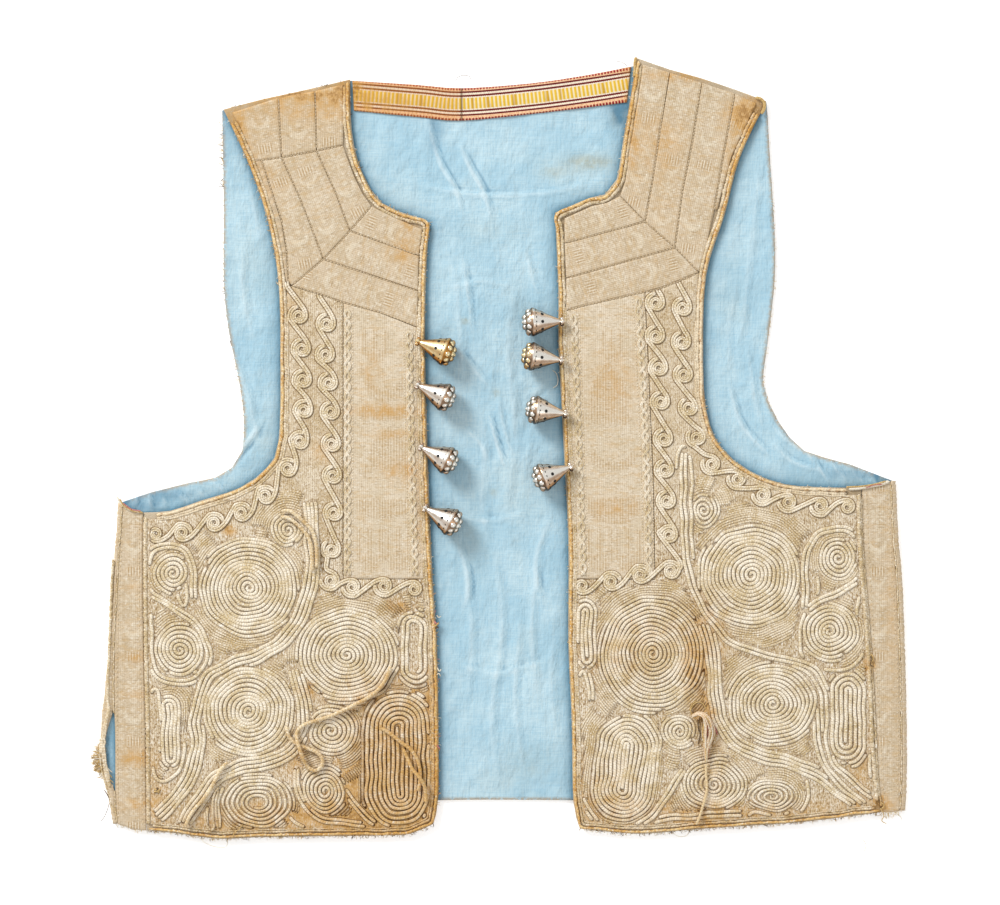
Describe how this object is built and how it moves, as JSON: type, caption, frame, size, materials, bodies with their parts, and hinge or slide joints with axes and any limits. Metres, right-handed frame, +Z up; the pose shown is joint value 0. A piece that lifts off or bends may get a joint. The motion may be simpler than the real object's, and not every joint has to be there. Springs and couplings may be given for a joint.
{
  "type": "embroidered waistcoat",
  "caption": "Sleeveless waistcoat of woven metallic ribbons and couched cord spirals, with dangling cone buttons, laid flat with its fronts open over a pale lining.",
  "frame": {"origin": "middle of the garment on the surface it lies on: a point of the back's flat underside", "axes": "+Z up, out of the fronts; +Y towards the neck; +X towards the side seam on the picture's right"},
  "size_m": [0.4844, 0.469, 0.0202],
  "materials": {
    "metal_ribbon": "woven metallic ribbon, dulled and stained",
    "corded_cloth": "couched cream and gilt cord over a fine corded ground",
    "base_cloth": "matt base cloth",
    "blue_lining": "plain weave, creased",
    "striped_ribbon": "ribbed ribbon with yellow, red and white stripes",
    "ochre_cord": "two-ply edge cord",
    "cream_cord": "loose couched cord and thread",
    "silver": "polished, slightly gilt silver"
  },
  "bodies": {
    "root": {"back": "metal_ribbon", "back_lining": "blue_lining", "neck_ribbon": "striped_ribbon", "front_left": "base_cloth", "front_right": "base_cloth", "side_band_left": "metal_ribbon", "side_band_right": "metal_ribbon", "side_edge_left": "metal_ribbon", "side_edge_right": "metal_ribbon", "cordwork_left": "corded_cloth", "cordwork_right": "corded_cloth", "plastron_left": "metal_ribbon", "plastron_right": "metal_ribbon", "strap_top_outer_left": "metal_ribbon", "strap_top_middle_left": "metal_ribbon", "strap_top_inner_left": "metal_ribbon", "strap_armhole_left": "metal_ribbon", "strap_outer_left": "metal_ribbon", "strap_middle_left": "metal_ribbon", "strap_inner_left": "metal_ribbon", "chest_upper_left": "metal_ribbon", "chest_middle_left": "metal_ribbon", "chest_lower_left": "metal_ribbon", "strap_neck_right": "metal_ribbon", "strap_inner_right": "metal_ribbon", "strap_middle_right": "metal_ribbon", "strap_outer_right": "metal_ribbon", "chest_upper_right": "metal_ribbon", "chest_middle_right": "metal_ribbon", "chest_lower_right": "metal_ribbon", "front_cord_left": "ochre_cord", "front_cord_right": "ochre_cord", "armhole_cord_left": "ochre_cord", "armhole_cord_right": "ochre_cord", "button_left_1": "silver", "button_left_2": "silver", "button_left_3": "silver", "button_left_4": "silver", "button_right_1": "silver", "button_right_2": "silver", "button_right_3": "silver", "button_right_4": "silver", "loose_cord_left_loop": "cream_cord", "loose_cord_left_front": "cream_cord", "loose_cord_left_twin": "cream_cord", "loose_cord_left_hem": "cream_cord", "loose_cord_left_upper": "cream_cord", "loose_cord_left_lower": "cream_cord", "frayed_bundle_right": "cream_cord", "loose_thread_right": "cream_cord"}
  },
  "joints": []
}
